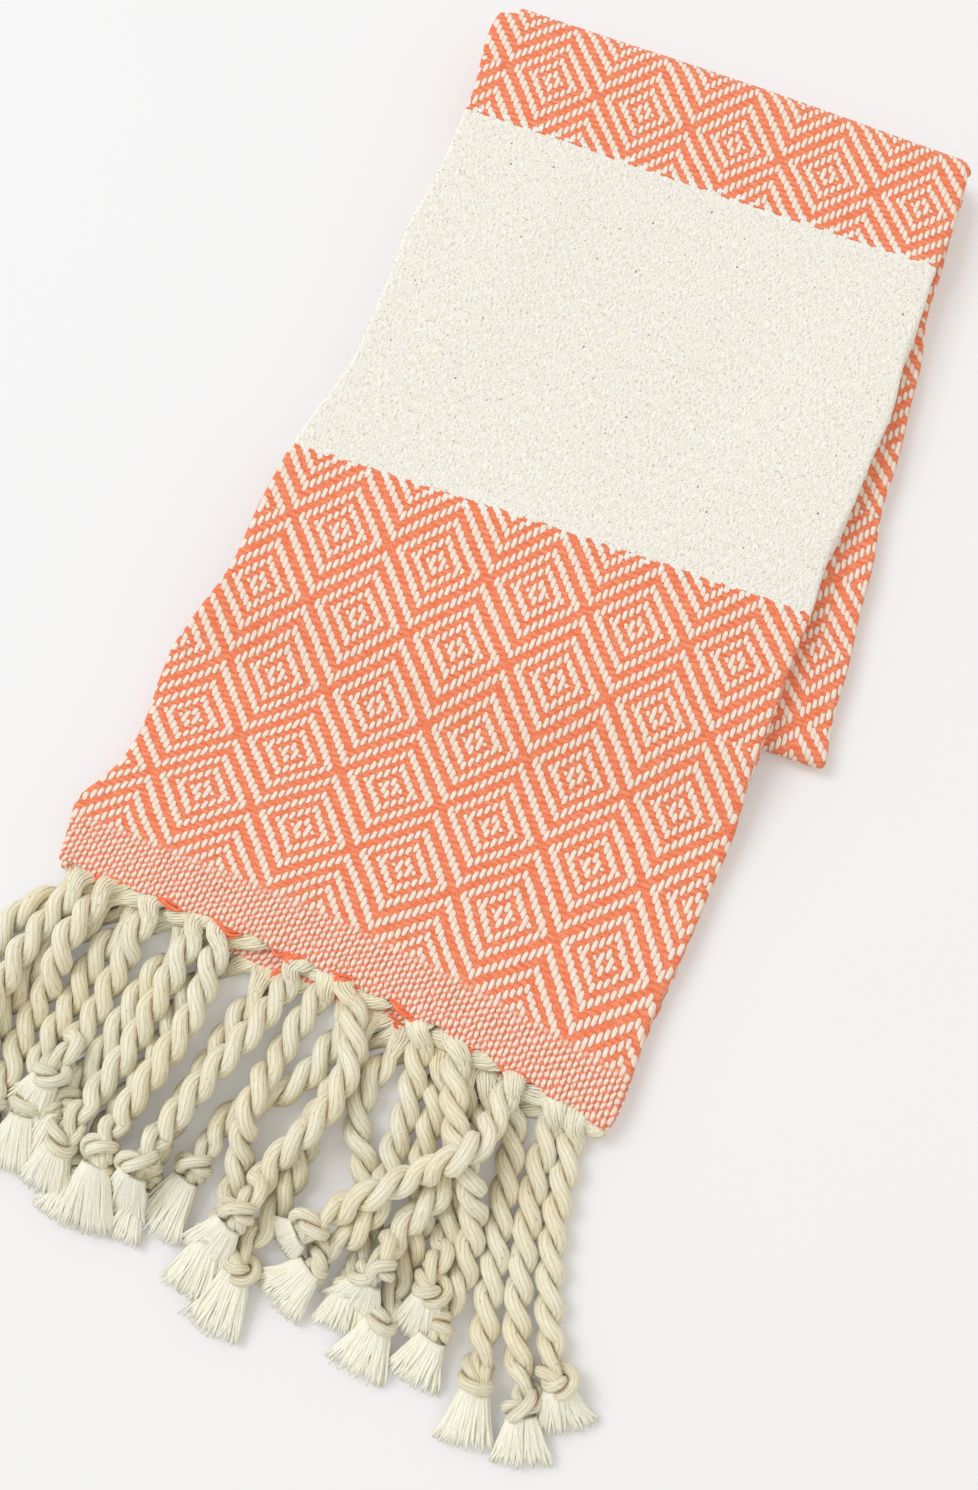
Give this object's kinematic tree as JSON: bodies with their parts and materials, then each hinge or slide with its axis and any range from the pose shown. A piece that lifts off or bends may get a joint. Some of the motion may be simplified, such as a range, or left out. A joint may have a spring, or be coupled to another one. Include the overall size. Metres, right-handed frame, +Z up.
{
  "type": "kitchen towel",
  "caption": "Folded woven kitchen towel with a plain band near each end and a row of twisted, knotted tassels along both cut ends, laid flat.",
  "frame": {"origin": "centre of the folded towel's bounding box, on the surface it lies on", "axes": "+X across the towel, +Y from the tassels towards the top fold, +Z up from the surface it lies on"},
  "size_m": [0.2111, 0.4078, 0.0189],
  "materials": {
    "cloth": "matte",
    "fringe": "matte"
  },
  "bodies": {
    "root": {"towel_cloth": "cloth", "fringe_lower": "fringe", "fringe_upper": "fringe"}
  },
  "joints": []
}
